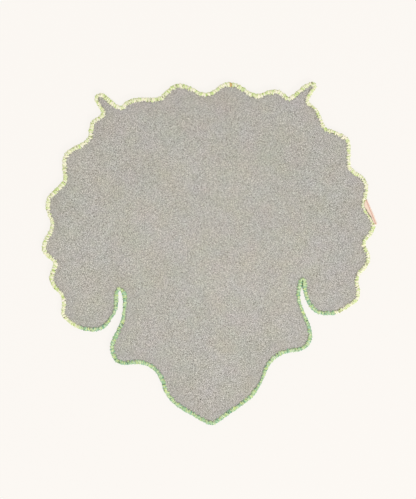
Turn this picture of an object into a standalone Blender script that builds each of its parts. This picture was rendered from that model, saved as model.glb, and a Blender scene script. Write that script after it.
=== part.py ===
"""A child's tufted floor rug, cut to the outline of a horned, frilled animal's head.

It lies face down: the cut pile is underneath and the woven backing cloth is on top. Yarn is
sewn over and over along the whole edge, and a small blank tape is caught in that edge.
+Z is up and +Y points to the crown of the head. The origin is on the floor, under the middle.
"""
import math
from collections import namedtuple

import bmesh
import bpy
from mathutils import Matrix, Vector
from mathutils.geometry import interpolate_bezier

# Depths of the layers, in metres, from the floor up.
PILE_DEPTH = 0.0090
GROUND_DEPTH = 0.0028
CLOTH_THICKNESS = 0.0014
SEAM_GAP = 0.0003

# The sewn edge stands outside the ground and the cloth, and its lip rounds over the cloth.
LIP_RISE = 0.0020
LIP_STEPS = 4
EDGE_CLEARANCE = 0.0016
FOOT_RISE = 0.0012
FOOT_SHARE = 0.82

# How far the layers reach outwards from the middle line of the sewn edge.
PILE_REACH = 0.0033
GROUND_REACH = 0.0012

# The tape: its outer long side runs between these two corners.
TAPE_TOP_MM = (444.2, 127.0)
TAPE_FOOT_MM = (465.8, 57.4)
TAPE_TOP_WIDTH = 0.0098
TAPE_FOOT_WIDTH = 0.0080
TAPE_THICKNESS = 0.0010

# How finely the outline is followed, and how it bends between its points.
HANDLE_SHARE = 1 / 3
CURVE_STEPS = 12
LONGEST_STEP = 0.0105
SHORTEST_STEP = 0.0030
LARGEST_TURN = math.radians(13)
STRAIGHT_TURN = math.radians(0.1)
TIGHT_BEND_SHARE = 0.75
SHARP_EDGE = math.radians(50)

# Width of the sewn edge along each stretch of the outline.
EDGE_WIDTH = {
    "left_horn": 0.0128,
    "crown": 0.0128,
    "right_horn": 0.0124,
    "right_frill": 0.0112,
    "right_lobe": 0.0106,
    "right_slit": 0.0110,
    "right_cheek": 0.0108,
    "beak": 0.0108,
    "left_cheek": 0.0110,
    "left_slit": 0.0118,
    "left_lobe": 0.0106,
    "left_frill": 0.0126,
}
FACE_STRETCHES = ("right_slit", "right_cheek", "beak", "left_cheek", "left_slit")

# The middle line of the sewn edge, clockwise from the foot of the left horn.
OutlinePoint = namedtuple("OutlinePoint", "stretch x_mm y_mm")
OUTLINE = [OutlinePoint(*row) for row in (
    ("left_horn", -311, 337),
    ("left_horn", -308, 355),
    ("left_horn", -300, 377),
    ("left_horn", -280, 389),
    ("left_horn", -271, 400),
    ("left_horn", -275, 414),
    ("left_horn", -285, 432),
    ("left_horn", -287, 445),
    ("left_horn", -276, 450),
    ("left_horn", -255, 435),
    ("left_horn", -232, 415),
    ("crown", -222, 412),
    ("crown", -210, 421),
    ("crown", -194, 430),
    ("crown", -160, 432),
    ("crown", -128, 430),
    ("crown", -110, 434),
    ("crown", -89, 452),
    ("crown", -68, 465),
    ("crown", -43, 462),
    ("crown", -20, 450),
    ("crown", -3, 440),
    ("crown", 18, 437),
    ("crown", 40, 445),
    ("crown", 61, 459),
    ("crown", 80, 462),
    ("crown", 99, 457),
    ("crown", 121, 442),
    ("crown", 136, 432),
    ("crown", 152, 426),
    ("crown", 176, 431),
    ("crown", 197, 436),
    ("crown", 213, 434),
    ("crown", 228, 422),
    ("crown", 240, 414),
    ("right_horn", 250, 418),
    ("right_horn", 267, 430),
    ("right_horn", 289, 446),
    ("right_horn", 307, 451),
    ("right_horn", 313, 446),
    ("right_horn", 307, 437),
    ("right_horn", 297, 423),
    ("right_horn", 289, 408),
    ("right_horn", 290, 399),
    ("right_horn", 301, 390),
    ("right_frill", 312, 380),
    ("right_frill", 318, 368),
    ("right_frill", 326, 346),
    ("right_frill", 335, 327),
    ("right_frill", 360, 316),
    ("right_frill", 380, 305),
    ("right_frill", 396, 292),
    ("right_frill", 398, 274),
    ("right_frill", 396, 242),
    ("right_frill", 397, 217),
    ("right_frill", 408, 203),
    ("right_frill", 429, 189),
    ("right_frill", 440, 169),
    ("right_frill", 440, 149),
    ("right_frill", 434, 129),
    ("right_frill", 431, 113),
    ("right_frill", 439, 91),
    ("right_frill", 452, 68),
    ("right_frill", 455, 52),
    ("right_frill", 443, 30),
    ("right_frill", 427, 13),
    ("right_frill", 426, -4),
    ("right_frill", 435, -22),
    ("right_frill", 436, -40),
    ("right_frill", 426, -58),
    ("right_frill", 405, -80),
    ("right_frill", 401, -99),
    ("right_frill", 404, -121),
    ("right_frill", 400, -144),
    ("right_lobe", 377, -161),
    ("right_lobe", 352, -175),
    ("right_cheek", 338, -180),
    ("right_cheek", 315, -181),
    ("right_cheek", 291, -176),
    ("right_slit", 275, -162),
    ("right_slit", 263, -138),
    ("right_slit", 258, -114),
    ("right_slit", 257, -99),
    ("right_slit", 256, -89),
    ("right_slit", 252, -83),
    ("right_slit", 248, -89),
    ("right_slit", 244, -99),
    ("right_slit", 241, -114),
    ("right_slit", 239, -141),
    ("right_cheek", 246, -167),
    ("right_cheek", 257, -196),
    ("right_cheek", 265, -222),
    ("right_cheek", 266, -245),
    ("right_cheek", 257, -264),
    ("right_cheek", 240, -274),
    ("right_cheek", 210, -278),
    ("right_cheek", 186, -283),
    ("right_cheek", 165, -294),
    ("beak", 147, -312),
    ("beak", 132, -341),
    ("beak", 117, -369),
    ("beak", 97, -396),
    ("beak", 68, -417),
    ("beak", 28, -442),
    ("beak", 5, -457),
    ("beak", -14, -467),
    ("beak", -39, -457),
    ("beak", -68, -438),
    ("beak", -101, -417),
    ("beak", -124, -395),
    ("beak", -140, -368),
    ("beak", -147, -340),
    ("left_cheek", -160, -316),
    ("left_cheek", -182, -297),
    ("left_cheek", -205, -289),
    ("left_cheek", -244, -289),
    ("left_cheek", -264, -285),
    ("left_cheek", -278, -265),
    ("left_cheek", -279, -234),
    ("left_cheek", -265, -207),
    ("left_slit", -251, -182),
    ("left_slit", -242, -152),
    ("left_slit", -239, -123),
    ("left_slit", -242, -96),
    ("left_slit", -252, -86),
    ("left_slit", -260, -95),
    ("left_slit", -262, -121),
    ("left_slit", -267, -142),
    ("left_slit", -284, -167),
    ("left_cheek", -303, -188),
    ("left_cheek", -331, -193),
    ("left_cheek", -350, -190),
    ("left_lobe", -368, -184),
    ("left_lobe", -393, -167),
    ("left_lobe", -410, -146),
    ("left_frill", -406, -118),
    ("left_frill", -409, -93),
    ("left_frill", -430, -67),
    ("left_frill", -438, -47),
    ("left_frill", -431, -25),
    ("left_frill", -424, -4),
    ("left_frill", -440, 15),
    ("left_frill", -453, 31),
    ("left_frill", -452, 49),
    ("left_frill", -434, 80),
    ("left_frill", -425, 104),
    ("left_frill", -432, 128),
    ("left_frill", -438, 153),
    ("left_frill", -432, 175),
    ("left_frill", -404, 201),
    ("left_frill", -387, 220),
    ("left_frill", -385, 240),
    ("left_frill", -386, 264),
    ("left_frill", -380, 289),
    ("left_frill", -356, 308),
    ("left_frill", -328, 319),
)]

# Heights that follow from the depths.
GROUND_TOP = PILE_DEPTH + GROUND_DEPTH
CLOTH_BASE = GROUND_TOP + SEAM_GAP
CLOTH_TOP = CLOTH_BASE + CLOTH_THICKNESS
LIP_BASE = CLOTH_TOP + SEAM_GAP
EDGE_BASE = PILE_DEPTH + EDGE_CLEARANCE
TAPE_BASE = PILE_DEPTH + SEAM_GAP

# Colours as they look on a screen, red, green and blue from 0 to 255, with a roughness.
SCREEN_GAMMA = 2.2
SCREEN_WHITE = 255
Finish = namedtuple("Finish", "name colour roughness")
PILE_FINISH = Finish("cut_pile", (176, 196, 140), 0.95)
CLOTH_FINISH = Finish("woven_backing", (184, 179, 169), 0.95)
FRILL_YARN_FINISH = Finish("lime_and_cream_yarn", (222, 224, 184), 0.85)
FACE_YARN_FINISH = Finish("mint_yarn", (183, 206, 162), 0.85)
TAPE_FINISH = Finish("peach_tape", (243, 217, 200), 0.8)

Sample = namedtuple("Sample", "place along outward width on_face")


def clear_scene():
    """Start from an empty scene."""
    for old in list(bpy.data.objects):
        bpy.data.objects.remove(old, do_unlink=True)


def metres(x_mm, y_mm):
    """A point of the plan, from millimetres."""
    return Vector((x_mm, y_mm, 0)) / 1000


def smooth_outline():
    """Places along the closed outline, each with the edge's width and whether it is the face's."""
    knots = [metres(row.x_mm, row.y_mm) for row in OUTLINE]
    count = len(knots)
    tangents = []
    for i, knot in enumerate(knots):
        back = knot - knots[i - 1]
        ahead = knots[(i + 1) % count] - knot
        bend = back.normalized() * ahead.length + ahead.normalized() * back.length
        tangents.append(bend.normalized())
    dense = []
    for i, row in enumerate(OUTLINE):
        j = (i + 1) % count
        reach = (knots[j] - knots[i]).length * HANDLE_SHARE
        handles = knots[i] + tangents[i] * reach, knots[j] - tangents[j] * reach
        span = interpolate_bezier(knots[i], *handles, knots[j], CURVE_STEPS + 1)[:-1]
        start_width = EDGE_WIDTH[row.stretch]
        end_width = EDGE_WIDTH[OUTLINE[j].stretch]
        for step, place in enumerate(span):
            share = step / CURVE_STEPS
            width = start_width + (end_width - start_width) * share
            dense.append((place, width, row.stretch in FACE_STRETCHES))
    return dense


def outline_samples():
    """The outline thinned out, with more places where it bends and one at each yarn change."""
    dense = smooth_outline()
    count = len(dense)
    samples = []
    length = turn = 0.0
    for i, (place, width, on_face) in enumerate(dense):
        before, after = dense[i - 1], dense[(i + 1) % count]
        back, ahead = place - before[0], after[0] - place
        length += back.length
        turn += abs(back.xy.angle_signed(ahead.xy, 0))
        bent = turn >= LARGEST_TURN and length >= SHORTEST_STEP
        yarn_changes = on_face != before[2]
        if samples and not (bent or yarn_changes or length >= LONGEST_STEP):
            continue
        along = (back.normalized() + ahead.normalized()).normalized()
        outward = Vector((-along.y, along.x, 0))
        samples.append(Sample(place, along, outward, width, on_face))
        length = turn = 0.0
    return samples


def reaches(samples):
    """Inward and outward reach of the edge at each sample, less where a bend is tighter."""
    count = len(samples)
    room = []
    for i, sample in enumerate(samples):
        before, after = samples[i - 1].place, samples[(i + 1) % count].place
        turn = (sample.place - before).xy.angle_signed((after - sample.place).xy, 0)
        step = ((sample.place - before).length + (after - sample.place).length) / 2
        widest = step / max(abs(turn), STRAIGHT_TURN) * TIGHT_BEND_SHARE
        half = sample.width / 2
        # angle_signed is positive for a clockwise turn, which bulges outwards here.
        room.append((min(half, widest), half) if turn > 0 else (half, min(half, widest)))
    eased = []
    for i in range(count):
        near = [room[i - 1], room[i], room[(i + 1) % count]]
        eased.append((min(pair[0] for pair in near), min(pair[1] for pair in near)))
    return eased


def flat_ring(samples, reach, height):
    """The outline moved outwards by reach, at a height."""
    return [sample.place + sample.outward * reach + Vector((0, 0, height)) for sample in samples]


def edge_section(sample, inward, outward, slide=0.0):
    """The sewn edge's section: lip, outer wall, foot, and the corner round the ground's rim."""
    points = []
    for step in range(LIP_STEPS + 1):
        angle = math.pi * (1 - step / LIP_STEPS)
        across = math.cos(angle) * (inward if math.cos(angle) < 0 else outward)
        points.append((across, LIP_BASE + LIP_RISE * math.sin(angle)))
    points.append((outward, EDGE_BASE + FOOT_RISE))
    points.append((outward * FOOT_SHARE, EDGE_BASE))
    points.append((GROUND_REACH + SEAM_GAP, EDGE_BASE))
    points.append((GROUND_REACH + SEAM_GAP, LIP_BASE))
    base = sample.place + sample.along * slide
    return [base + sample.outward * across + Vector((0, 0, height)) for across, height in points]


def loft(name, rings, finish, smooth=False):
    """A closed solid through rings of equal point count, capped at both ends."""
    bm = bmesh.new()
    loops = [[bm.verts.new(place) for place in ring] for ring in rings]
    for lower, upper in zip(loops, loops[1:]):
        for i, corner in enumerate(lower):
            j = (i + 1) % len(lower)
            bm.faces.new((corner, lower[j], upper[j], upper[i]))
    caps = [bm.faces.new(loops[0]), bm.faces.new(loops[-1])]
    bmesh.ops.triangulate(bm, faces=caps)
    bmesh.ops.recalc_face_normals(bm, faces=bm.faces)
    mesh = bpy.data.meshes.new(name)
    bm.to_mesh(mesh)
    bm.free()
    if smooth:
        mesh.shade_smooth()
        mesh.set_sharp_from_angle(angle=SHARP_EDGE)
    mesh.materials.append(material_of(finish))
    piece = bpy.data.objects.new(name, mesh)
    bpy.context.collection.objects.link(piece)
    return piece


def material_of(finish):
    """A Principled material with the finish's colour, turned from screen to linear values."""
    material = bpy.data.materials.new(finish.name)
    material.use_nodes = True
    shader = material.node_tree.nodes["Principled BSDF"]
    linear = [(value / SCREEN_WHITE) ** SCREEN_GAMMA for value in finish.colour]
    shader.inputs["Base Color"].default_value = (*linear, 1)
    shader.inputs["Roughness"].default_value = finish.roughness
    shader.inputs["Metallic"].default_value = 0.0
    return material


def make_tufted_face(samples):
    """The pile and the ground it is tufted into: one solid, with a ledge round its rim."""
    rings = (
        flat_ring(samples, PILE_REACH, 0),
        flat_ring(samples, PILE_REACH, PILE_DEPTH),
        flat_ring(samples, GROUND_REACH, PILE_DEPTH),
        flat_ring(samples, GROUND_REACH, GROUND_TOP),
    )
    return loft("tufted_face", rings, PILE_FINISH)


def make_backing_cloth(samples):
    """The woven cloth over the ground, whose raw edge lies under the edge yarn's lip."""
    rings = (
        flat_ring(samples, GROUND_REACH, CLOTH_BASE),
        flat_ring(samples, GROUND_REACH, CLOTH_TOP),
    )
    return loft("backing_cloth", rings, CLOTH_FINISH)


def make_edge(name, samples, limits, order, slide, finish):
    """The sewn edge along the samples in order, its ends moved inwards by slide."""
    rings = []
    for step, i in enumerate(order):
        end = slide if step == 0 else -slide if step == len(order) - 1 else 0.0
        rings.append(edge_section(samples[i], *limits[i], end))
    return loft(name, rings, finish, smooth=True)


def make_edges(samples):
    """The two yarns' edges, which meet at the bottoms of the frill's lowest lobes."""
    limits = reaches(samples)
    count = len(samples)
    first = next(i for i in range(count) if samples[i].on_face and not samples[i - 1].on_face)
    last = next(i for i in range(count) if samples[i - 1].on_face and not samples[i].on_face)
    face_order = list(range(first, last + 1))
    frill_order = [i % count for i in range(last, first + count + 1)]
    return [
        make_edge("edge_yarn_face", samples, limits, face_order, SEAM_GAP, FACE_YARN_FINISH),
        make_edge("edge_yarn_frill", samples, limits, frill_order, 0.0, FRILL_YARN_FINISH),
    ]


def make_tape():
    """The blank tape, flat, with its inner long side caught under the edge yarn."""
    top, foot = metres(*TAPE_TOP_MM), metres(*TAPE_FOOT_MM)
    along = (foot - top).normalized()
    inward = Vector((along.y, -along.x, 0))
    corners = (top, foot, foot + inward * TAPE_FOOT_WIDTH, top + inward * TAPE_TOP_WIDTH)
    heights = (TAPE_BASE, TAPE_BASE + TAPE_THICKNESS)
    rings = [[corner + Vector((0, 0, height)) for corner in corners] for height in heights]
    return loft("side_tape", rings, TAPE_FINISH)


def stand_on_origin(pieces):
    """Move every mesh so that the whole rug is centred over the origin."""
    places = [vertex.co for piece in pieces for vertex in piece.data.vertices]
    middle_x = (min(p.x for p in places) + max(p.x for p in places)) / 2
    middle_y = (min(p.y for p in places) + max(p.y for p in places)) / 2
    for piece in pieces:
        piece.data.transform(Matrix.Translation((-middle_x, -middle_y, 0)))


def main():
    clear_scene()
    samples = outline_samples()
    pieces = [make_tufted_face(samples), make_backing_cloth(samples), make_tape()]
    pieces += make_edges(samples)
    stand_on_origin(pieces)


main()
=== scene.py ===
import math
import random

import bmesh
import bpy
from mathutils import Matrix, Vector, kdtree, noise
from mathutils.bvhtree import BVHTree


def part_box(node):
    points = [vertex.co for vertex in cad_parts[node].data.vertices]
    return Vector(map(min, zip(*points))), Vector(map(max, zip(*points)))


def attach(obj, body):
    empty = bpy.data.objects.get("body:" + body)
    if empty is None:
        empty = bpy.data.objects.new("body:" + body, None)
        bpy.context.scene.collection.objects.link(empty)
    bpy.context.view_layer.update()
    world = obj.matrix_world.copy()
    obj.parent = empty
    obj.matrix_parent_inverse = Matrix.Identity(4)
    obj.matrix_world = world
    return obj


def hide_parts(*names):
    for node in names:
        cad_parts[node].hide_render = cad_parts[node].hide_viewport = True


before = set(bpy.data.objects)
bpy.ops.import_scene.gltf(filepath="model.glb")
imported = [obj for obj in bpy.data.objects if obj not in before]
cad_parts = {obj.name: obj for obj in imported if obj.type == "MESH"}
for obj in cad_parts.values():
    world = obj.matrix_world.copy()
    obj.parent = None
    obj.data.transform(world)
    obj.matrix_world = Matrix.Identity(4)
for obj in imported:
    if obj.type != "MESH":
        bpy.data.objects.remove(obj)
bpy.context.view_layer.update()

# A child's tufted rug, cut to the outline of a horned, frilled animal's head, lying face down:
# woven backing on top, two colours of edge yarn sewn over the rim, cut pile underneath.

clothLow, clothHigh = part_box("backing_cloth")
edgeLow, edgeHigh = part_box("edge_yarn_frill")
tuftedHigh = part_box("tufted_face")[1]
tapeLow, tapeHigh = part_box("side_tape")

tiny = 1e-6                    # corners that are nearer than this are one


def screenColour(red, green, blue):
    # a colour as it looks on a screen, 0 to 255, as the linear colour that a shader takes
    shares = [value / 255 for value in (red, green, blue)]
    return tuple(((share + 0.055) / 1.055) ** 2.4 for share in shares) + (1.0,)


def setInputs(node, inputs):
    # each takes another socket's output, or a plain value
    for name, value in inputs.items():
        if isinstance(value, bpy.types.NodeSocket):
            node.id_data.links.new(value, node.inputs[name])
        else:
            node.inputs[name].default_value = value


def addNode(tree, kind, inputs=None, **settings):
    node = tree.nodes.new(kind)
    for name, value in settings.items():
        setattr(node, name, value)
    setInputs(node, inputs or {})
    return node


def calculate(tree, operation, first, second=0.0, third=0.0):
    inputs = {0: first, 1: second, 2: third}
    return addNode(tree, "ShaderNodeMath", inputs, operation=operation).outputs[0]


def scaled(tree, value, factor, rest):
    # a value times a factor, and the rest added
    return calculate(tree, "MULTIPLY_ADD", value, factor, rest)


def calculateVector(tree, operation, first, second, third=(0, 0, 0)):
    inputs = {0: first, 1: second, 2: third}
    return addNode(tree, "ShaderNodeVectorMath", inputs, operation=operation).outputs[0]


def blendValue(tree, share, first, second):
    return addNode(tree, "ShaderNodeMix", {0: share, 2: first, 3: second}).outputs[0]


def blend(tree, share, first, second):
    # either may be a socket, or a screen colour
    colours = [screenColour(*one) if isinstance(one, tuple) else one for one in (first, second)]
    inputs = {0: share, 6: colours[0], 7: colours[1]}
    return addNode(tree, "ShaderNodeMix", inputs, data_type="RGBA").outputs[2]


def brighten(tree, colour, value):
    # a colour, or another vector, times a value
    return addNode(tree, "ShaderNodeVectorMath", {0: colour, "Scale": value}, operation="SCALE").outputs[0]


def ramp(tree, value, start, end, low=0.0, high=1.0):
    # low to high while the value goes from start to end, and level past both
    inputs = {0: value, 1: start, 2: end, 3: low, 4: high}
    return addNode(tree, "ShaderNodeMapRange", inputs).outputs[0]


def swing(tree, value, reach):
    # a chance value, 0 to 1, as a change up or down that spans the reach
    return scaled(tree, value, reach, -reach / 2)


def clamped(tree, value):
    return addNode(tree, "ShaderNodeClamp", {0: value}).outputs[0]


def splitVector(tree, vector):
    return addNode(tree, "ShaderNodeSeparateXYZ", {0: vector}).outputs


def joinVector(tree, x, y, z=0.0):
    return addNode(tree, "ShaderNodeCombineXYZ", {0: x, 1: y, 2: z}).outputs[0]


def attributeOf(tree, name, output="Fac"):
    return addNode(tree, "ShaderNodeAttribute", attribute_name=name).outputs[output]


def distanceFrom(tree, places, spot):
    # from a spot on the cloth's upper side
    inputs = {0: places, 1: (*spot, clothHigh.z)}
    return addNode(tree, "ShaderNodeVectorMath", inputs, operation="DISTANCE").outputs["Value"]


def noiseValue(tree, vector, scale, detail=2.0):
    inputs = {"Vector": vector, "Scale": scale, "Detail": detail}
    return addNode(tree, "ShaderNodeTexNoise", inputs).outputs[0]


def newGroup(name, inputs, outputs):
    # an empty shader group with its sockets; an input without a value is a vector
    group = bpy.data.node_groups.new(name, "ShaderNodeTree")
    for label, value in inputs.items():
        kind = "NodeSocketVector" if value is None else "NodeSocketFloat"
        socket = group.interface.new_socket(label, in_out="INPUT", socket_type=kind)
        if value is not None:
            socket.default_value = value
    for label, kind in outputs.items():
        group.interface.new_socket(label, in_out="OUTPUT", socket_type="NodeSocket" + kind)
    return group, group.nodes.new("NodeGroupInput").outputs, group.nodes.new("NodeGroupOutput")


weaving = {
    "wander": 28.0,            # waves to the metre as the threads wander,
    "fray": 900.0,             # and along their frayed sides
    "dive": 0.55,              # a thread's height where it dives, as a share of its crown's
    "section": 0.6,            # how round it is across: 1 is a sine, and less is fuller
    # steps in the noise from thread to thread, and from warp to weft, so that neighbours differ
    "laneSteps": (13.7, 5.3),
    "wayStep": 40.0,
}


def plainWeaveGroup():
    # threads over and under each other: their relief, and a tone that drifts along each thread
    group, given, made = newGroup(
        "plainWeave",
        {"Vector": None, "Thread": 0.0013, "Slub": 0.003, "Wander": 0.0008, "Fray": 0.0005},
        {"Height": "Float", "Tone": "Float"},
    )
    # the threads wander a little, and their sides are frayed
    place = given["Vector"]
    for scale, reach in ((weaving["wander"], given["Wander"]), (weaving["fray"], given["Fray"])):
        inputs = {"Vector": given["Vector"], "Scale": scale, "Detail": 1.0}
        drift = addNode(group, "ShaderNodeTexNoise", inputs).outputs["Color"]
        drift = calculateVector(group, "SUBTRACT", drift, (0.5, 0.5, 0.5))
        place = calculateVector(group, "ADD", place, brighten(group, drift, reach))
    axes = splitVector(group, place)
    counts = [calculate(group, "DIVIDE", axes[i], given["Thread"]) for i in (0, 1)]
    waves = [calculate(group, "SINE", calculate(group, "MULTIPLY", count, math.pi)) for count in counts]
    warpOver = calculate(group, "GREATER_THAN", calculate(group, "MULTIPLY", waves[0], waves[1]), 0.0)
    rounds = [calculate(group, "ABSOLUTE", wave) for wave in waves]
    stepX, stepZ = weaving["laneSteps"]
    heights = []
    tones = []
    for across, along in ((0, 1), (1, 0)):
        crown = scaled(group, rounds[along], 1 - weaving["dive"], weaving["dive"])
        section = calculate(group, "POWER", rounds[across], weaving["section"])
        heights.append(calculate(group, "MULTIPLY", section, crown))
        lane = calculate(group, "FLOOR", counts[across])
        run = calculate(group, "DIVIDE", axes[along], given["Slub"])
        spot = joinVector(group, calculate(group, "MULTIPLY", lane, stepX), run,
                          scaled(group, lane, stepZ, across * weaving["wayStep"]))
        tones.append(noiseValue(group, spot, 1.0, detail=1.0))
    setInputs(made, {"Height": blendValue(group, warpOver, heights[1], heights[0]),
                     "Tone": blendValue(group, warpOver, tones[1], tones[0])})
    return group


def spunFibresGroup():
    # soft spun fibres: their fine relief, and a slow unevenness of the dye
    slowness = 0.06            # of the dye's changes, against the fibres'
    group, given, made = newGroup("spunFibres", {"Vector": None, "Fineness": 1800.0},
                                  {"Hair": "Float", "Dye": "Float"})
    slow = calculate(group, "MULTIPLY", given["Fineness"], slowness)
    setInputs(made, {"Hair": noiseValue(group, given["Vector"], given["Fineness"], detail=3.0),
                     "Dye": noiseValue(group, given["Vector"], slow)})
    return group


def twistedPliesGroup():
    # two plies twisted round each other along a strand: their relief, and a chance colour for each turn
    slant = 0.7                # of the turns, from one side of a strand to its middle
    group, given, made = newGroup("twistedPlies", {"Strand": None, "Turns": 6.0},
                                  {"Relief": "Float", "Chances": "Color"})
    across, along, number = splitVector(group, given["Strand"])
    turn = scaled(group, along, given["Turns"], calculate(group, "MULTIPLY", across, slant))
    wave = calculate(group, "SINE", calculate(group, "MULTIPLY", turn, math.pi))
    spot = joinVector(group, number, calculate(group, "FLOOR", turn))
    chances = addNode(group, "ShaderNodeTexWhiteNoise", {"Vector": spot}).outputs["Color"]
    setInputs(made, {"Relief": calculate(group, "ABSOLUTE", wave), "Chances": chances})
    return group


plainWeave = plainWeaveGroup()
spunFibres = spunFibresGroup()
twistedPlies = twistedPliesGroup()


def placeGroup(tree, group, **inputs):
    return addNode(tree, "ShaderNodeGroup", inputs, node_tree=group).outputs


def newMaterial(name, roughness, sheen):
    # a cloth or yarn: the material, its tree and its Object coordinates
    material = bpy.data.materials.new(name)
    material.use_nodes = True
    tree = material.node_tree
    setInputs(tree.nodes["Principled BSDF"],
              {"Roughness": roughness, "Sheen Weight": sheen, "Specular IOR Level": 0.2})
    return material, tree, addNode(tree, "ShaderNodeTexCoord").outputs["Object"]


def finishMaterial(material, colour, light, height, distance):
    tree = material.node_tree
    bump = addNode(tree, "ShaderNodeBump", {"Height": height, "Distance": distance}).outputs[0]
    setInputs(tree.nodes["Principled BSDF"], {"Base Color": brighten(tree, colour, light), "Normal": bump})
    return material


def meshOf(name, bm):
    # a bmesh put into a new mesh, and freed
    mesh = bpy.data.meshes.new(name)
    bm.to_mesh(mesh)
    bm.free()
    return mesh


def newObject(name, data):
    thing = bpy.data.objects.new(name, data)
    bpy.context.scene.collection.objects.link(thing)
    return thing


def makePiece(name, bm, material):
    # a finished piece from a bmesh, riding on the rug
    mesh = meshOf(name, bm)
    mesh.shade_smooth()
    mesh.materials.append(material)
    piece = newObject(name, mesh)
    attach(piece, "root")
    return piece


def turnOutwards(bm):
    bmesh.ops.recalc_face_normals(bm, faces=bm.faces)


def cornersOf(parts):
    return [part for part in parts if isinstance(part, bmesh.types.BMVert)]


def stationAt(place, x, y, z):
    # a matrix that takes the axes to these three and the origin to the place
    return Matrix.Translation(place) @ Matrix((x, y, z)).transposed().to_4x4()


def carryRow(bm, row, here, there):
    # a row of edges extruded from one station to the next: its new corners and edges
    grown = bmesh.ops.extrude_edge_only(bm, edges=row)["geom"]
    corners = cornersOf(grown)
    bmesh.ops.transform(bm, matrix=there @ here.inverted(), verts=corners)
    return corners, [part for part in grown if isinstance(part, bmesh.types.BMEdge)
                     and all(end in corners for end in part.verts)]


def copyNode(name, merged):
    # a CAD node's mesh, with its loose triangles merged or as they are
    bm = bmesh.new()
    bm.from_mesh(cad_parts[name].data)
    if merged:
        bmesh.ops.remove_doubles(bm, verts=bm.verts, dist=tiny)
        bm.normal_update()
    return bm


def rimOf(name):
    # the edge of a flat CAD node's upper face, counterclockwise
    bm = copyNode(name, merged=True)
    top = max(corner.co.z for corner in bm.verts) - 10 * tiny
    lid = [face for face in bm.faces if face.normal.z > 0.9 and face.calc_center_median().z > top]
    lid = bmesh.ops.dissolve_faces(bm, faces=lid)["region"][0]
    ring = [corner.co.copy() for corner in lid.verts]
    bm.free()
    return ring


def walkRim(ring, pitch, fans=(0.0,)):
    # places about a pitch apart all round the ring, each with its outward direction; closer where it
    # turns, so that they are a pitch apart at each fan's distance outside it too
    count = len(ring)
    sides = [ring[(i + 1) % count] - ring[i] for i in range(count)]
    squares = [Vector((side.y, -side.x, 0)).normalized() for side in sides]
    corners = [(squares[i - 1] + squares[i]).normalized() for i in range(count)]
    lengths = []
    for i, side in enumerate(sides):
        turn = corners[(i + 1) % count] - corners[i]
        lengths.append(max(side.length, *((side + turn * fan).dot(side.normalized()) for fan in fans)))
    length = sum(lengths)
    steps = round(length / pitch)
    stations = []
    i = 0
    passed = 0.0
    for step in range(steps):
        goal = length * step / steps
        while passed + lengths[i] < goal:
            passed += lengths[i]
            i += 1
        share = (goal - passed) / lengths[i]
        outward = corners[i].lerp(corners[(i + 1) % count], share).normalized()
        stations.append((ring[i] + sides[i] * share, outward))
    return stations


edgeYarn = {
    "pitch": 0.0063,           # from one stitch to the next; each has two strands side by side
    "fans": (0.003, -0.0045),  # strands keep their pitch this far outside the rim, and inside it
    "strandHalfWidth": 0.0018,
    "strandHalfThickness": 0.0009,
    "halfWidth": 0.005,        # of the edge that a strand is modelled for, before it is fitted
    "sides": 6,
    # a strand's way over the rim: across, from -1 at its inner end to 1 at its outer side; its
    # height, from 0 at the edge's foot to 1 at its lip; and its girth there
    "route": (
        (-0.80, 0.35, 0.70), (-0.86, 0.57, 0.85), (-0.68, 0.75, 1.00), (-0.28, 0.83, 1.00),
        (0.18, 0.83, 1.00), (0.56, 0.75, 1.00), (0.80, 0.56, 1.00), (0.83, 0.34, 0.95),
        (0.68, 0.19, 0.85), (0.42, 0.18, 0.60),
    ),
    # the solid's reach is measured at each step, in and out from the middle of the edge
    "step": 0.002,
    "reachOut": 0.0012,        # from that middle to the cloth's rim
    "above": 0.0006,           # the cloth
    "look": 0.012,
    "reaches": (0.001, 0.0075),     # the least and the most that can be right
    "lean": 0.22,              # how far a strand slants along the rim, as a share of its length
    "leanVaries": 0.16,
    "pitchVaries": 0.26,
    "heightVaries": 0.05,
    "outward": 1.01,           # a strand's reach outwards and inwards, as shares of the solid's
    "outwardVaries": 0.27,
    "inward": {"edge_yarn_frill": 1.00, "edge_yarn_face": 1.18},
    "inwardVaries": 0.46,
    "coreInset": 0.0009,       # how far the yarn packed under the strands lies below them
    "coreInward": 0.45,        # its reach towards the cloth, as a share of the solid's
    "coreOutward": 0.88,
    # beside the tape, which takes the outer half of the edge
    "outwardAtTape": 0.14,
    "inwardAtTape": 1.12,
    "coreAtTape": 0.0,
    "easeAtTape": 0.003,
    "tapeSide": 0.02,          # how far in from the tape the rim still counts as beside it
    # the sewing is uneven: round these places the strands reach less far in over the cloth
    "narrowAt": (
        (-0.290, 0.425), (0.302, 0.402), (0.322, 0.387), (0.040, 0.445), (-0.430, 0.110),
        (-0.420, -0.085), (-0.285, -0.165), (-0.245, -0.145), (0.240, -0.160), (0.120, -0.355),
    ),
    "narrowBy": 0.0028,
    "narrowReach": 0.025,
    # single strands of another colour, and how near to each place a strand is one
    "strayYarns": ((0.080, 0.463), (0.275, 0.445), (-0.096, 0.455), (-0.151, -0.357)),
    "strayReach": 0.0026,
    # the narrow slit beside the frill's right cheek, whose two edges press on each other
    "pressedAt": (0.249, -0.103),
    "pressedReach": 0.04,
    "pressedGap": 0.0046,      # edges that are nearer than this in the solids touch,
    "pressedSlope": 2.5,       # and the gap opens this much faster past it
    "pressedStart": 0.0002,    # the look across starts this far outside an edge,
    "pressedLook": 0.03,       # and ends this far off
    "seam": 0.0012,            # left between two edges that touch
    "seamDepth": 0.0030,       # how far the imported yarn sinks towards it,
    "seamShade": (0.1, 0.6),   # and over which part of its way there it darkens
}


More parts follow.
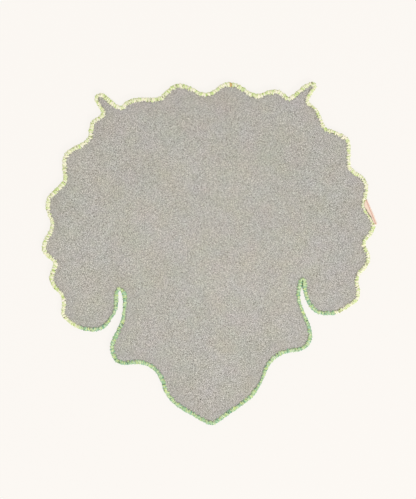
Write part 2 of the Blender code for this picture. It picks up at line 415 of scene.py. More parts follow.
def edgeReaches(middle, outward, facts):
    # which edge node a place is in, and how far that node reaches inwards and outwards there
    least, most = facts["reaches"]
    for name, tree in yarnTrees.items():
        out = tree.ray_cast(middle, outward, facts["look"])[3]
        back = tree.ray_cast(middle, -outward, facts["look"])[3]
        if out and back and least < back < most and least < out < most:
            return name, back, out
    return None


def walkEdge(pitch, facts):
    # places along the middle of the edge, with its node and its reach there
    stations = []
    reaches = None
    for rim, outward in walkRim(clothRim, pitch, facts["fans"]):
        middle = rim - outward * facts["reachOut"]
        middle.z = clothHigh.z + facts["above"]
        reaches = edgeReaches(middle, outward, facts) or reaches
        stations.append((middle, outward, *reaches))
    return stations


clothRim = rimOf("backing_cloth")
yarnTrees = {}
for name in ("edge_yarn_frill", "edge_yarn_face"):
    bm = copyNode(name, merged=False)
    yarnTrees[name] = BVHTree.FromBMesh(bm)
    bm.free()
edgeSteps = walkEdge(edgeYarn["step"], edgeYarn)
edgeStepTree = kdtree.KDTree(len(edgeSteps))
for number, step in enumerate(edgeSteps):
    edgeStepTree.insert(step[0].xy.to_3d(), number)
edgeStepTree.balance()


def yarnDistance(place):
    # from a place on the cloth to the inner side of the edge yarn
    number, gap = edgeStepTree.find(place.xy.to_3d())[1:]
    return gap - edgeSteps[number][3]


def griddedFace(ring, cell):
    # the ring's inside, cut into squares by one plane after another
    bm = bmesh.new()
    bm.faces.new([bm.verts.new(place) for place in ring])
    for axis in (0, 1):
        square = Vector((axis == 0, axis == 1, 0))
        low = min(corner.co[axis] for corner in bm.verts)
        high = max(corner.co[axis] for corner in bm.verts)
        ahead = bm.faces[:]
        for step in range(1, math.ceil((high - low) / cell)):
            at = low + step * cell
            parts = set(ahead)
            for face in ahead:
                parts.update(face.edges, face.verts)
            cut = bmesh.ops.bisect_plane(bm, geom=list(parts), dist=tiny, plane_co=square * at,
                                         plane_no=square)["geom"]
            ahead = [part for part in cut
                     if isinstance(part, bmesh.types.BMFace) and part.calc_center_bounds()[axis] > at]
    return bm


def clothRelief(place):
    # how the whole rug lies up and down, a little, under its own weight
    spot = place.xy.to_3d() * backingCloth["reliefScale"]
    finer = noise.noise(spot * backingCloth["finer"])
    return backingCloth["relief"] * (noise.noise(spot) + backingCloth["finerRelief"] * finer)


def raiseSheet(bm, thickness):
    # a flat mesh made a closed sheet of that thickness, upwards
    raised = bmesh.ops.extrude_face_region(bm, geom=bm.faces[:])["geom"]
    bmesh.ops.translate(bm, verts=cornersOf(raised), vec=(0, 0, thickness))
    turnOutwards(bm)


backingCloth = {
    "cell": 0.0045,            # side of the mesh's squares
    "relief": 0.00025,
    "reliefScale": 24.0,       # rises and hollows to the metre
    "finer": 2.3,              # lesser ones lie closer by this,
    "finerRelief": 0.5,        # and are lower by this
    "dip": 0.0004,             # how far it is drawn down along the stitches
    "dipReach": 0.006,
    "dustReach": 0.040,        # how far the painted shade of the rim reaches in
    "dust": 0.25,
    "holeFrom": -0.0022,       # where the dark specks lie beside the edge yarn: needle holes, and painted shade at the yarn's inner ends
    "holeTo": 0.0034,
    "holeScale": 380.0,
    "holeShare": (0.52, 0.64),      # where a hole begins in the noise, and where it is darkest
    "holeDark": 0.75,
    "thread": 0.0013,
    "slub": 0.003,
    "fineness": 1700.0,        # of its hairs
    "byThread": 3.0,           # how far the tone changes along and between the threads,
    "byClump": 2.4,            # in small clumps of fibres
    "clumps": 520.0,
    "byHair": 1.0,             # and from hair to hair
    "valleyLight": 0.70,       # brightness between the threads, and how much more on their crowns
    "crownLight": 0.45,
    "warpTurn": math.radians(-8),
    "drift": (0.15, 0.10, 0.26),    # how far red, green and blue stray by themselves
    "driftScale": 14.0,
    "lightPoolMiddle": (-0.06, 0.03),
    "lightPoolReach": 0.42,
    "lightPool": 0.045,             # how much brighter the middle is, a painted pool of light
    "uneven": 0.10,
    "unevenScale": 6.0,
    "fleckAt": (-0.0474, -0.3992),
    "fleckRadius": 0.0024,
    "hairRelief": 0.5,         # against the threads' own
    "bump": 0.0003,
    "fleck": (78, 72, 62),     # one dark fibre end caught in the weave
    "pale": (235, 233, 226),
    "deep": (116, 114, 104),
    # the colour of the painted shade towards the rim
    "dusty": (178, 171, 168),
    "holeAndShade": (88, 92, 74),
}


def clothMaterial(facts):
    material, tree, places = newMaterial("heatheredCanvas", roughness=0.9, sheen=0.15)
    turned = addNode(tree, "ShaderNodeMapping", {"Vector": places, "Rotation": (0, 0, facts["warpTurn"])})
    weave = placeGroup(tree, plainWeave, Vector=turned.outputs[0], Thread=facts["thread"],
                       Slub=facts["slub"])
    fibres = placeGroup(tree, spunFibres, Vector=places, Fineness=facts["fineness"])
    clumps = noiseValue(tree, places, facts["clumps"], detail=1.0)
    # paler and deeper fibres, mixed
    tone = 0.5
    for value, reach in ((weave["Tone"], facts["byThread"]), (fibres["Hair"], facts["byHair"]),
                         (clumps, facts["byClump"])):
        tone = calculate(tree, "ADD", tone, swing(tree, value, reach))
    tone = clamped(tree, tone)
    colour = blend(tree, tone, facts["deep"], facts["pale"])
    crowns = scaled(tree, weave["Height"], facts["crownLight"], facts["valleyLight"])
    colour = brighten(tree, colour, crowns)
    # faint painted shade towards the rim, a greyer mauve
    inward = attributeOf(tree, "fromYarn")
    dust = ramp(tree, inward, facts["dustReach"], 0.0, high=facts["dust"])
    colour = blend(tree, dust, colour, facts["dusty"])
    # the dye strays a little, warmer and cooler
    inputs = {"Vector": places, "Scale": facts["driftScale"], "Detail": 5.0, "Roughness": 0.65}
    drift = addNode(tree, "ShaderNodeTexNoise", inputs).outputs["Color"]
    least = tuple(1 - reach / 2 for reach in facts["drift"])
    drift = calculateVector(tree, "MULTIPLY_ADD", drift, facts["drift"], least)
    colour = calculateVector(tree, "MULTIPLY", colour, drift)
    # dark specks beside the edge: needle holes, and painted shade of the yarn ends
    holesAndShade = ramp(tree, noiseValue(tree, places, facts["holeScale"]), *facts["holeShare"])
    beside = ramp(tree, inward, facts["holeTo"], 0.0)
    under = ramp(tree, inward, facts["holeFrom"], facts["holeFrom"] / 4)
    for share in (beside, under, facts["holeDark"]):
        holesAndShade = calculate(tree, "MULTIPLY", holesAndShade, share)
    colour = blend(tree, holesAndShade, colour, facts["holeAndShade"])
    toFleck = distanceFrom(tree, places, facts["fleckAt"])
    fleck = ramp(tree, toFleck, facts["fleckRadius"], facts["fleckRadius"] / 2)
    colour = blend(tree, fleck, colour, facts["fleck"])
    # a painted pool of light, brighter in the middle, and uneven all over
    away = distanceFrom(tree, places, facts["lightPoolMiddle"])
    lightPool = ramp(tree, away, facts["lightPoolReach"], 0.0, 1 - facts["lightPool"] / 2, 1 + facts["lightPool"] / 2)
    uneven = swing(tree, noiseValue(tree, places, facts["unevenScale"]), facts["uneven"])
    light = calculate(tree, "ADD", lightPool, uneven)
    relief = scaled(tree, fibres["Hair"], facts["hairRelief"], weave["Height"])
    return finishMaterial(material, colour, light, relief, facts["bump"])


def makeBackingCloth(facts):
    bm = griddedFace(clothRim, facts["cell"])
    fromYarn = bm.verts.layers.float.new("fromYarn")
    for corner in bm.verts:
        gap = yarnDistance(corner.co)
        drawn = max(0.0, 1 - max(gap, 0.0) / facts["dipReach"]) ** 2
        corner[fromYarn] = gap
        corner.co.z = clothLow.z + clothRelief(corner.co) - facts["dip"] * drawn
    raiseSheet(bm, clothHigh.z - clothLow.z)
    return makePiece("wovenBacking", bm, clothMaterial(facts))


cloth = makeBackingCloth(backingCloth)
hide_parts("backing_cloth")
print("backing cloth:", len(cloth.data.polygons), "faces")


packedNumber = 0.5             # stands for a strand's number on the yarn packed under the strands,
packedAlong = 0.6              # and this for the place along it

strandLook = {
    "turns": 6.0,              # of its two plies
    "fineness": 1500.0,        # of its hairs
    "topAt": 0.375,            # where it lies highest and is painted palest, as a share of its way
    "fall": 2.4,               # how fast its ends count as far from there
    "byHair": 0.30,            # how much lighter single hairs are,
    "plyHighlight": 0.10,             # and the crowns of the plies, a painted highlight
    "hairRelief": 0.5,         # against the plies' own
    "bump": 0.0003,
}

yarnDyes = {
    "frill": {
        "deep": (192, 220, 122), "cream": (255, 250, 243), "butter": (252, 246, 214),
        # packed: the yarn under the strands, painted in shade; pressed: painted shadow in the pressed seam
        "stray": (216, 186, 120), "shadow": (128, 124, 88), "packed": (170, 178, 112),
        "pressed": (112, 118, 76),
        "middle": 0.68,        # how pale the yarn is, from 0 to 1, and how far that changes
        "byStrand": 0.80,      # from strand to strand
        "byTurn": 1.00,        # from turn to turn of a ply
        "shadeAtEnds": 0.05,        # less at both ends of a strand, painted shade
        "outward": 0.25,       # and less towards its outer side
        "lightByTurn": 0.10,
        "shadows": 0.03,       # share of the turns that lie in shadow
        "light": 0.84,
    },
    "face": {
        "deep": (126, 184, 150), "cream": (224, 239, 214), "butter": (216, 230, 134),
        # packed: the yarn under the strands, painted in shade; pressed: painted shadow in the pressed seam
        "stray": (232, 200, 172), "shadow": (76, 106, 80), "packed": (84, 134, 98),
        "pressed": (48, 74, 44),
        "middle": 0.56, "byStrand": 0.60, "byTurn": 0.90, "shadeAtEnds": 0.45, "outward": 0.10,
        "lightByTurn": 0.20, "shadows": 0.04, "light": 0.82,
    },
}


def yarnMaterial(name, dye, facts):
    # the strand attribute holds the place across a strand, the place along it, and its number
    material, tree, places = newMaterial(name, roughness=0.85, sheen=0.25)
    strand = attributeOf(tree, "strand", "Vector")
    along, number = splitVector(tree, strand)[1:]
    own = addNode(tree, "ShaderNodeTexWhiteNoise", {"W": number}, noise_dimensions="1D").outputs["Value"]
    twist = placeGroup(tree, twistedPlies, Strand=strand, Turns=facts["turns"])
    dyed, lit, kind = addNode(tree, "ShaderNodeSeparateColor", {0: twist["Chances"]}).outputs
    fibres = placeGroup(tree, spunFibres, Vector=places, Fineness=facts["fineness"])
    # each strand, and each turn of it, takes the dye its own way
    shade = scaled(tree, own, dye["byStrand"], dye["middle"] - dye["byStrand"] / 2)
    shade = calculate(tree, "ADD", shade, swing(tree, dyed, dye["byTurn"]))
    # painted shade: deeper towards both ends of a strand, palest where it lies highest
    shadedEnds = calculate(tree, "ABSOLUTE", scaled(tree, along, facts["fall"], -facts["fall"] * facts["topAt"]))
    shade = scaled(tree, shadedEnds, -dye["shadeAtEnds"], calculate(tree, "ADD", shade, dye["shadeAtEnds"] / 3))
    outer = scaled(tree, along, -dye["outward"], dye["outward"] / facts["fall"])
    shade = clamped(tree, calculate(tree, "ADD", shade, outer))
    pale = blend(tree, kind, dye["cream"], dye["butter"])
    colour = blend(tree, shade, dye["deep"], pale)
    colour = blend(tree, calculate(tree, "LESS_THAN", number, 0.0), colour, dye["stray"])
    colour = blend(tree, calculate(tree, "LESS_THAN", kind, dye["shadows"]), colour, dye["shadow"])
    # the yarn packed under the strands is painted in shade, and painted darkest, as shadow, in the seam where
    # two edges are pressed together
    packed = calculate(tree, "COMPARE", number, packedNumber, 0.1)
    pressed = ramp(tree, along, *(packedAlong + share for share in edgeYarn["seamShade"]))
    packedShadeColour = blend(tree, pressed, dye["packed"], dye["pressed"])
    colour = blend(tree, packed, colour, packedShadeColour)
    light = scaled(tree, lit, dye["lightByTurn"], dye["light"] - dye["lightByTurn"] / 2)
    light = scaled(tree, fibres["Hair"], facts["byHair"], light)
    # a painted highlight on the crowns of the plies
    light = scaled(tree, twist["Relief"], facts["plyHighlight"], light)
    relief = scaled(tree, fibres["Hair"], facts["hairRelief"], twist["Relief"])
    return finishMaterial(material, colour, light, relief, facts["bump"])


def strandStations(facts):
    # where a strand's section stands along its way: a matrix for each place
    rise = edgeHigh.z - edgeLow.z
    places = [Vector((across * facts["halfWidth"], 0, edgeLow.z + height * rise))
              for across, height, girth in facts["route"]]
    along = Vector((0, 1, 0))
    stations = []
    for i, place in enumerate(places):
        onward = (places[min(i + 1, len(places) - 1)] - places[max(i - 1, 0)]).normalized()
        girth = facts["route"][i][2]
        stations.append(stationAt(place, along.cross(onward) * facts["strandHalfThickness"] * girth,
                                  along * facts["strandHalfWidth"] * girth, onward))
    return stations


def sweepCircle(bm, stations, sides):
    # a round section carried from station to station, closed at both ends; gives each ring's corners
    ring = bmesh.ops.create_circle(bm, segments=sides, radius=1, matrix=stations[0])["verts"]
    rings = [ring]
    rim = list(bm.faces.new(ring).edges)
    for here, there in zip(stations, stations[1:]):
        ring, rim = carryRow(bm, rim, here, there)
        rings.append(ring)
    bmesh.ops.edgeloop_fill(bm, edges=rim)
    turnOutwards(bm)
    return rings


def strandMesh(facts):
    # one strand on its own, across the rim along X, for the middle width
    bm = bmesh.new()
    strand = bm.verts.layers.float_vector.new("strand")
    stations = strandStations(facts)
    rings = sweepCircle(bm, stations, facts["sides"])
    for number, (ring, station) in enumerate(zip(rings, stations)):
        for corner in ring:
            corner[strand] = ((station.inverted() @ corner.co).y, number / (len(rings) - 1), 0)
    return meshOf("strand", bm)


def besideTape(middle, facts):
    # how far a place of the rim lies beside the tape, from 0 past its ends to 1
    if middle.x < tapeLow.x - facts["tapeSide"]:
        return 0.0
    inside = min(middle.y - tapeLow.y, tapeHigh.y - middle.y)
    return min(max(inside / facts["easeAtTape"], 0.0), 1.0)


def narrowing(middle, facts):
    # how much less far in the strands reach at a place of the rim
    gaps = [(middle.xy - Vector(place)).length for place in facts["narrowAt"]]
    return sum(facts["narrowBy"] * math.exp(-(gap / facts["narrowReach"]) ** 2) for gap in gaps)


def pressedReach(middle, outward, out, facts):
    # how much further a strand swells towards the edge across the narrow slit, and if the two touch
    if (middle.xy - Vector(facts["pressedAt"])).length > facts["pressedReach"]:
        return 0.0, False
    start = middle + outward * (out + facts["pressedStart"])
    gaps = [tree.ray_cast(start, outward, facts["pressedLook"])[3] for tree in yarnTrees.values()]
    gaps = [gap + facts["pressedStart"] for gap in gaps if gap]
    if not gaps:
        return 0.0, False
    left = max(facts["seam"], facts["pressedSlope"] * (min(gaps) - facts["pressedGap"]))
    return max(0.0, min(gaps) - left) / 2, left == facts["seam"]


def sewEdges(facts):
    # for each edge node its strands: a matrix for the one strand mesh, and a number
    sewn = {name: [] for name in yarnTrees}
    pitch = facts["pitch"] / 2
    for number, (middle, outward, name, back, out) in enumerate(walkEdge(pitch, facts)):
        along = Vector((-outward.y, outward.x, 0))
        pressed = pressedReach(middle, outward, out, facts)[0]
        middle = middle + along * random.uniform(-1, 1) * facts["pitchVaries"] * pitch
        back -= narrowing(middle, facts)
        back *= facts["inward"][name] + random.uniform(-1, 1) * facts["inwardVaries"]
        outVaries = 0.0 if pressed else facts["outwardVaries"]
        out = out * (facts["outward"] + random.uniform(-1, 1) * outVaries) + pressed
        beside = besideTape(middle, facts)
        out *= 1 + (facts["outwardAtTape"] - 1) * beside
        back *= 1 + (facts["inwardAtTape"] - 1) * beside
        lean = facts["lean"] + random.uniform(-1, 1) * facts["leanVaries"]
        fit = (back + out) / 2 / facts["halfWidth"]
        lift = 1 + random.uniform(-1, 0.3) * facts["heightVaries"]
        place = middle + outward * (out - back) / 2
        place.z = clothRelief(place) + edgeLow.z * (1 - lift)
        mark = number + 1.0
        if any((place.xy - Vector(stray)).length < facts["strayReach"] for stray in facts["strayYarns"]):
            mark = -1.0
        station = stationAt(place, outward * fit + along * lean, along, Vector((0, 0, lift)))
        sewn[name].append((station, mark))
    return sewn


def coreMesh(node, facts):
    # the yarn packed over the rim under the strands: the CAD node's mesh, a little smaller
    bm = copyNode(node, merged=True)
    strand = bm.verts.layers.float_vector.new("strand")
    for corner in bm.verts:
        corner.co -= corner.normal * facts["coreInset"]
        middle, outward, name, back, out = edgeSteps[edgeStepTree.find(corner.co.xy.to_3d())[1]]
        across = (corner.co - middle).xy.dot(outward.xy)
        pressed, touching = pressedReach(middle, outward, out, facts)
        if across < 0:
            share = facts["coreInward"]
        elif touching:
            share = (out + pressed + facts["seam"] / 3) / (out - facts["coreInset"])
        else:
            beside = besideTape(middle, facts)
            share = facts["coreOutward"] + (facts["coreAtTape"] - facts["coreOutward"]) * beside
        corner.co += outward * across * (share - 1)
        sunken = across / out if touching and across > 0 else 0.0
        corner.co.z -= facts["seamDepth"] * sunken
        corner[strand] = (0, packedAlong + sunken, packedNumber)
    return meshOf("core", bm)


def makeEdge(name, node, material):
    # the yarn packed over the rim, and the strands on it, as one piece
    bm = bmesh.new()
    core = coreMesh(node, edgeYarn)
    bm.from_mesh(core)
    bpy.data.meshes.remove(core)
    strand = bm.verts.layers.float_vector["strand"]
    for matrix, mark in sewn[node]:
        before = len(bm.verts)
        bm.from_mesh(template)
        bm.verts.ensure_lookup_table()
        added = bm.verts[before:]
        bmesh.ops.transform(bm, matrix=matrix, verts=added)
        for corner in added:
            corner[strand] = (corner[strand].x, corner[strand].y, mark)
    piece = makePiece(name, bm, material)
    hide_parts(node)


random.seed(11)
sewn = sewEdges(edgeYarn)
template = strandMesh(edgeYarn)
makeEdge("frillEdgeYarn", "edge_yarn_frill",
         yarnMaterial("limeAndCreamYarn", yarnDyes["frill"], strandLook))
makeEdge("faceEdgeYarn", "edge_yarn_face",
         yarnMaterial("mintYarn", yarnDyes["face"], strandLook))
bpy.data.meshes.remove(template)
print("edge yarn:", {name: len(strands) for name, strands in sewn.items()}, "strands")


cutPile = {
    "depth": 0.0090,           # from the floor up to the ground
    "groundCell": 0.03,
    "groundGap": 0.0004,       # between the ground and the cloth over it
    "groundThickness": 0.0022,
    "groundThread": 0.0016,
    "groundSlub": 0.004,
    "groundLight": 0.7,
    "groundByTone": 0.5,
    "groundBump": 0.0004,
    "tuftGap": 0.0040,         # from one tuft to the next, at least
    "density": 200000.0,       # tried to the square metre, before that gap thins them
    "rimGap": 0.0031,          # along the rim, where they stand in a row
    "rimInset": 0.001,
    "rootRadius": 0.0012,
    "tipRadius": 0.0022,
    "tipDome": 0.0004,
    "tuftSides": 5,
    "tilt": math.radians(9),
    "thickVaries": 0.16,
    "shortest": 0.93,
    "faceMiddle": (-0.015, -0.18),
    "faceHalfWidth": 0.356,
    "faceHeight": 0.30,
    "facePowers": (2.4, 2.0),  # across and up: 2 is an ellipse, and more is squarer
    "fineness": 1400.0,        # of its hairs
    "light": 0.8,
    "byTuft": 0.16,            # how much lighter one tuft is than the next,
    "byHair": 0.30,            # and single hairs are
    "shadeByHeight": -0.18,         # painted shade, darker towards the ground
    "byDye": 0.5,
    "bump": 0.0006,
    "ground": (214, 208, 190),
    "lime": (214, 226, 160),
    "mint": (164, 208, 154),
    "faded": (244, 240, 214),
}


def groundMaterial(facts):
    material, tree, places = newMaterial("tuftedGround", roughness=0.9, sheen=0.1)
    weave = placeGroup(tree, plainWeave, Vector=places, Thread=facts["groundThread"],
                       Slub=facts["groundSlub"])
    colour = screenColour(*facts["ground"])[:3]
    light = scaled(tree, weave["Tone"], facts["groundByTone"], facts["groundLight"])
    return finishMaterial(material, colour, light, weave["Height"], facts["groundBump"])


def pileMaterial(name, base, facts):
    # a cut tuft is painted in shade towards its root, so it is paler at its opened end; no two take the dye
    # alike
    material, tree, places = newMaterial(name, roughness=0.9, sheen=0.3)
    fibres = placeGroup(tree, spunFibres, Vector=places, Fineness=facts["fineness"])
    depth = calculate(tree, "DIVIDE", splitVector(tree, places)[2], tuftedHigh.z)
    light = scaled(tree, attributeOf(tree, "tuftTone"), facts["byTuft"], facts["light"])
    light = scaled(tree, fibres["Hair"], facts["byHair"], light)
    light = scaled(tree, depth, facts["shadeByHeight"], light)
    share = calculate(tree, "MULTIPLY", fibres["Dye"], facts["byDye"])
    colour = blend(tree, share, base, facts["faded"])
    return finishMaterial(material, colour, light, fibres["Hair"], facts["bump"])


def makeGround(facts):
    bm = griddedFace(tuftedRim, facts["groundCell"])
    top = clothLow.z - facts["groundGap"]
    for corner in bm.verts:
        corner.co.z = top - facts["groundThickness"] + clothRelief(corner.co)
    raiseSheet(bm, facts["groundThickness"])
    return makePiece("tuftedGround", bm, groundMaterial(facts))


def makeTuft(facts):
    # one cut tuft hanging from its root, opening towards a slightly domed end
    length = facts["depth"] - facts["tipDome"]
    bm = bmesh.new()
    bmesh.ops.create_cone(bm, cap_ends=False, segments=facts["tuftSides"], radius1=facts["tipRadius"],
                          radius2=facts["rootRadius"], depth=length,
                          matrix=Matrix.Translation((0, 0, -length / 2)))
    end = [edge for edge in bm.edges if all(corner.co.z < -length / 2 for corner in edge.verts)]
    middle = cornersOf(bmesh.ops.extrude_edge_only(bm, edges=end)["geom"])
    bmesh.ops.pointmerge(bm, verts=middle, merge_co=(0, 0, -length - facts["tipDome"]))
    turnOutwards(bm)
    return newObject("tuft", meshOf("tuft", bm))


def chanceValue(tree, low, high, seed):
    return addNode(tree, "FunctionNodeRandomValue", {2: low, 3: high, "Seed": seed}).outputs[1]


def insideFace(tree, facts):
    # below 1 inside the face's part of the pile: half a squarish oval, and straight sides below it
    places = splitVector(tree, tree.nodes.new("GeometryNodeInputPosition").outputs[0])
    parts = []
    for axis, half in ((0, facts["faceHalfWidth"]), (1, facts["faceHeight"])):
        away = calculate(tree, "SUBTRACT", places[axis], facts["faceMiddle"][axis])
        away = calculate(tree, "DIVIDE", away, half)
        away = calculate(tree, "ABSOLUTE", away) if axis == 0 else calculate(tree, "MAXIMUM", away, 0.0)
        parts.append(calculate(tree, "POWER", away, facts["facePowers"][axis]))
    return calculate(tree, "ADD", *parts)


def plantTufts(name, bed, tuft, facts, side):
    # tufts planted over the bed, inside the face's part or outside it
    tree = bpy.data.node_groups.new(name, "GeometryNodeTree")
    for way in ("INPUT", "OUTPUT"):
        tree.interface.new_socket("Geometry", in_out=way, socket_type="NodeSocketGeometry")
    given = tree.nodes.new("NodeGroupInput").outputs[0]
    inputs = {"Mesh": given, "Distance Min": facts["tuftGap"], "Density Max": facts["density"], "Seed": 4}
    spread = addNode(tree, "GeometryNodeDistributePointsOnFaces", inputs, distribute_method="POISSON")
    inRow = addNode(tree, "GeometryNodeInputNamedAttribute", {"Name": "rimRow"}, data_type="FLOAT").outputs[0]
    row = addNode(tree, "GeometryNodeMeshToPoints", {"Mesh": given, "Selection": inRow}).outputs[0]
    points = tree.nodes.new("GeometryNodeJoinGeometry")
    for some in (spread.outputs["Points"], row):
        tree.links.new(some, points.inputs[0])
    chosen = calculate(tree, side, insideFace(tree, facts), 1.0)
    tilt = facts["tilt"]
    leaning = addNode(tree, "FunctionNodeRandomValue",
                      {0: (-tilt, -tilt, 0), 1: (tilt, tilt, math.tau), "Seed": 1}, data_type="FLOAT_VECTOR")
    thick = chanceValue(tree, 1 - facts["thickVaries"], 1 + facts["thickVaries"], 2)
    size = joinVector(tree, thick, thick, chanceValue(tree, facts["shortest"], 1.0, 3))
    model = addNode(tree, "GeometryNodeObjectInfo", {"Object": tuft}).outputs["Geometry"]
    inputs = {"Points": points.outputs[0], "Selection": chosen, "Instance": model,
              "Rotation": leaning.outputs[0], "Scale": size}
    planted = addNode(tree, "GeometryNodeInstanceOnPoints", inputs).outputs[0]
    inputs = {"Geometry": planted, "Name": "tuftTone", "Value": chanceValue(tree, -1.0, 1.0, 5)}
    toned = addNode(tree, "GeometryNodeStoreNamedAttribute", inputs, data_type="FLOAT", domain="INSTANCE")
    real = addNode(tree, "GeometryNodeRealizeInstances", {0: toned.outputs[0]}).outputs[0]
    # no tuft reaches below the floor
    x, y, z = splitVector(tree, tree.nodes.new("GeometryNodeInputPosition").outputs[0])
    flat = joinVector(tree, x, y, calculate(tree, "MAXIMUM", z, 0.0))
    done = addNode(tree, "GeometryNodeSetPosition", {"Geometry": real, "Position": flat}).outputs[0]
    addNode(tree, "NodeGroupOutput", {0: done})
    bed.modifiers.clear()
    bed.modifiers.new("planting", "NODES").node_group = tree
    depsgraph = bpy.context.evaluated_depsgraph_get()
    mesh = bpy.data.meshes.new_from_object(bed.evaluated_get(depsgraph))
    bm = bmesh.new()
    bm.from_mesh(mesh)
    bpy.data.meshes.remove(mesh)
    return bm


def makePile(facts):
    bm = griddedFace(tuftedRim, facts["groundCell"])
    rimRow = bm.verts.layers.float.new("rimRow")
    for rim, outward in walkRim(tuftedRim, facts["rimGap"]):
        bm.verts.new(rim - outward * facts["rimInset"])[rimRow] = 1.0
    for corner in bm.verts:
        corner.co.z = facts["depth"]
    bed = newObject("bed", meshOf("bed", bm))
    tuft = makeTuft(facts)
    piles = []
    for name, dye, side in (("frillPile", "lime", "GREATER_THAN"), ("facePile", "mint", "LESS_THAN")):
        planted = plantTufts(name, bed, tuft, facts, side)
        piles.append(makePiece(name, planted, pileMaterial(dye + "Pile", facts[dye], facts)))
    bpy.data.objects.remove(bed)
    bpy.data.objects.remove(tuft)
    return piles


tuftedRim = rimOf("tufted_face")
ground = makeGround(cutPile)
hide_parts("tufted_face")
frillPile, facePile = makePile(cutPile)
for piece in (frillPile, facePile):
    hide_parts("tufted_face")
print("pile:", len(frillPile.data.polygons), "and", len(facePile.data.polygons), "faces")


sideTape = {
    "top": (0.4386, 0.1275),   # the two ends of its fold, seen from above
    "foot": (0.4628, 0.0581),
    "thickness": 0.0004,
    "steps": 26,               # along the fold
    "bow": 0.0009,             # how far the fold's middle stands out,
    "bowSkew": 1.4,            # and how far that middle is moved towards the foot
    "widest": 0.0135,          # from the fold in to the edge yarn's side, at most
    "narrowest": 0.0022,
    "caught": 0.0062,          # how far past that side the yarn holds it
    # round the fold: how far in from it, as a share of the way to where it is held, and the height
    "round": (
        (1.22, 0.0098), (0.60, 0.0097), (0.22, 0.0098), (0.06, 0.0101), (0.00, 0.0107), (0.07, 0.0113),
        (0.24, 0.0116), (0.50, 0.0116), (0.74, 0.0114), (0.90, 0.0108), (1.00, 0.0103), (1.22, 0.0102),
    ),
    "flat": (0.0365, 0.0695),
    "thread": 0.0005,
    "base": (249, 226, 208),
    "rose": (219, 171, 158),
    "roseAt": 0.0037,          # the stripe's middle, in from the fold
    "roseWide": 0.0018,
    "roseWavers": 0.0018,
    "waverScale": 260.0,
    "crease": (98, 90, 60),    # the shaded threads where the yarn holds it
    "creaseWide": 0.0052,
    "creaseFades": 0.05,       # towards the tape's two ends,
    "creaseHolds": (0.52, 0.2),     # but not about this share of its length, this near
    "speckScale": 330.0,
    "specks": (4.0, -1.2),     # how sharp the crease's specks are, and how few
    "light": 0.93,
    "byTone": 0.1,
    "bump": 0.0001,
}


def tapeMaterial(facts):
    # a plain woven tape with one rose stripe along it
    material, tree, places = newMaterial("twillTape", roughness=0.8, sheen=0.15)
    top = Vector(facts["top"])
    fold = Vector(facts["foot"]) - top
    turn = (0, 0, math.atan2(fold.y, fold.x))
    along = addNode(tree, "ShaderNodeMapping", {"Vector": places, "Location": (*top, 0), "Rotation": turn},
                    vector_type="TEXTURE").outputs[0]
    weave = placeGroup(tree, plainWeave, Vector=along, Thread=facts["thread"])
    wavering = swing(tree, noiseValue(tree, along, facts["waverScale"]), facts["roseWavers"])
    inward = calculate(tree, "SUBTRACT", wavering, splitVector(tree, along)[1])
    away = calculate(tree, "ABSOLUTE", calculate(tree, "SUBTRACT", inward, facts["roseAt"]))
    stripe = ramp(tree, away, facts["roseWide"], facts["roseWide"] * 0.3)
    colour = blend(tree, stripe, facts["base"], facts["rose"])
    crease = ramp(tree, attributeOf(tree, "toYarn"), facts["creaseWide"], facts["creaseWide"] / 2)
    specks = scaled(tree, noiseValue(tree, along, facts["speckScale"]), *facts["specks"])
    crease = clamped(tree, calculate(tree, "MULTIPLY", crease, specks))
    colour = blend(tree, crease, colour, facts["crease"])
    light = scaled(tree, weave["Tone"], facts["byTone"], facts["light"])
    return finishMaterial(material, colour, light, weave["Height"], facts["bump"])


def makeTape(facts):
    # a strip folded in two along its outer side, its raw sides caught under the edge yarn
    top, foot = Vector((*facts["top"], 0)), Vector((*facts["foot"], 0))
    onward = (foot - top).normalized()
    inward = Vector((onward.y, -onward.x, 0))
    stations = []
    ways = []
    for step in range(facts["steps"] + 1):
        share = step / facts["steps"]
        place = top.lerp(foot, share)
        place -= inward * facts["bow"] * math.sin(math.pi * share ** facts["bowSkew"])
        start = place + Vector((0, 0, clothHigh.z + edgeYarn["above"]))
        way = yarnTrees["edge_yarn_frill"].ray_cast(start, inward, facts["widest"])[3] or facts["widest"]
        way = max(facts["narrowest"], way) + facts["caught"]
        stations.append(stationAt(place, inward * way, onward, Vector((0, 0, 1))))
        ways.append(way)
    bm = bmesh.new()
    toYarn = bm.verts.layers.float.new("toYarn")
    ring = [bm.verts.new(stations[0] @ Vector((across, 0, height))) for across, height in facts["round"]]
    for corner, (across, height) in zip(ring, facts["round"]):
        corner[toYarn] = 1 - across
    side = [bm.edges.new(pair) for pair in zip(ring, ring[1:])]
    for here, there in zip(stations, stations[1:]):
        side = carryRow(bm, side, here, there)[1]
    turnOutwards(bm)
    bmesh.ops.solidify(bm, geom=bm.faces[:], thickness=facts["thickness"])
    turnOutwards(bm)
    held, near = facts["creaseHolds"]
    for corner in bm.verts:
        share = (corner.co - top).dot(onward) / (foot - top).length
        corner[toYarn] *= ways[round(min(max(share, 0.0), 1.0) * facts["steps"])]
        corner[toYarn] += facts["creaseFades"] * max(0.0, abs(share - held) - near)
    piece = makePiece("foldedTape", bm, tapeMaterial(facts))
    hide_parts("side_tape")
    return piece


tape = makeTape(sideTape)
print("side tape:", len(tape.data.polygons), "faces")


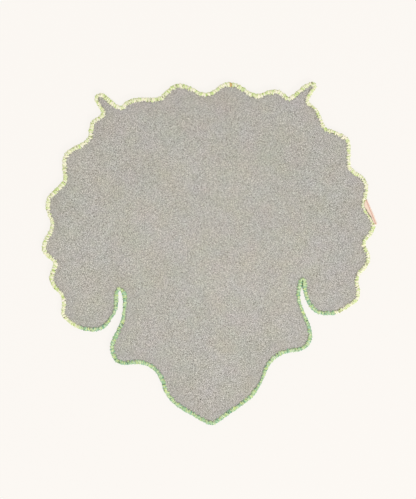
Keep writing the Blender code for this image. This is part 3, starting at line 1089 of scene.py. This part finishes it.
studio = {
    "floorColour": (251.4, 247.6, 243.0),
    "floorSize": 60.0,
    "floorDrop": 0.0002,
    "ownLight": 0.93,          # share of the floor's brightness that is its own
    "worldStrength": 0.74,
    "keyStrength": 320.0,
    "keyPlace": (3.2, -5.2, 5.2),
    "keySize": 2.6,
}

picture = {
    "lens": 100.0,
    "sensor": 36.0,
    "tall": 1.37225,           # metres from the top to the bottom of the picture, at the rug
    "middle": (-0.0059, 0.0117),
    "turn": math.radians(-2.9),
}


def makeFloor(facts):
    bm = bmesh.new()
    bmesh.ops.create_grid(bm, x_segments=1, y_segments=1, size=facts["floorSize"] / 2)
    bmesh.ops.translate(bm, verts=bm.verts, vec=(0, 0, -facts["floorDrop"]))
    mesh = meshOf("floor", bm)
    material = bpy.data.materials.new("paleFloor")
    material.use_nodes = True
    shader = material.node_tree.nodes["Principled BSDF"]
    colour = screenColour(*facts["floorColour"])
    share = 1 - facts["ownLight"]
    setInputs(shader, {"Base Color": tuple(value * share for value in colour[:3]) + (1.0,),
                       "Roughness": 1.0, "Specular IOR Level": 0.0,
                       "Emission Color": colour, "Emission Strength": facts["ownLight"]})
    mesh.materials.append(material)
    floor = newObject("floor", mesh)


def makeStudio(facts):
    makeFloor(facts)
    world = bpy.data.worlds.new("softRoom")
    world.use_nodes = True
    setInputs(world.node_tree.nodes["Background"],
              {"Color": screenColour(*facts["floorColour"]), "Strength": facts["worldStrength"]})
    bpy.context.scene.world = world
    bpy.context.scene.view_settings.view_transform = "Standard"
    lamp = bpy.data.lights.new("key", "AREA")
    lamp.shape = "DISK"
    lamp.size = facts["keySize"]
    lamp.energy = facts["keyStrength"]
    key = newObject("key", lamp)
    key.location = facts["keyPlace"]
    key.rotation_euler = (-key.location).to_track_quat("-Z", "Y").to_euler()


def makeCamera(facts):
    lens = bpy.data.cameras.new("camera")
    lens.lens = facts["lens"]
    lens.sensor_width = facts["sensor"]
    camera = newObject("camera", lens)
    away = facts["tall"] * facts["lens"] / facts["sensor"]
    camera.location = (*facts["middle"], clothHigh.z + away)
    camera.rotation_euler = (0, 0, facts["turn"])
    bpy.context.scene.camera = camera


makeStudio(studio)
makeCamera(picture)
print("floor, light and camera")
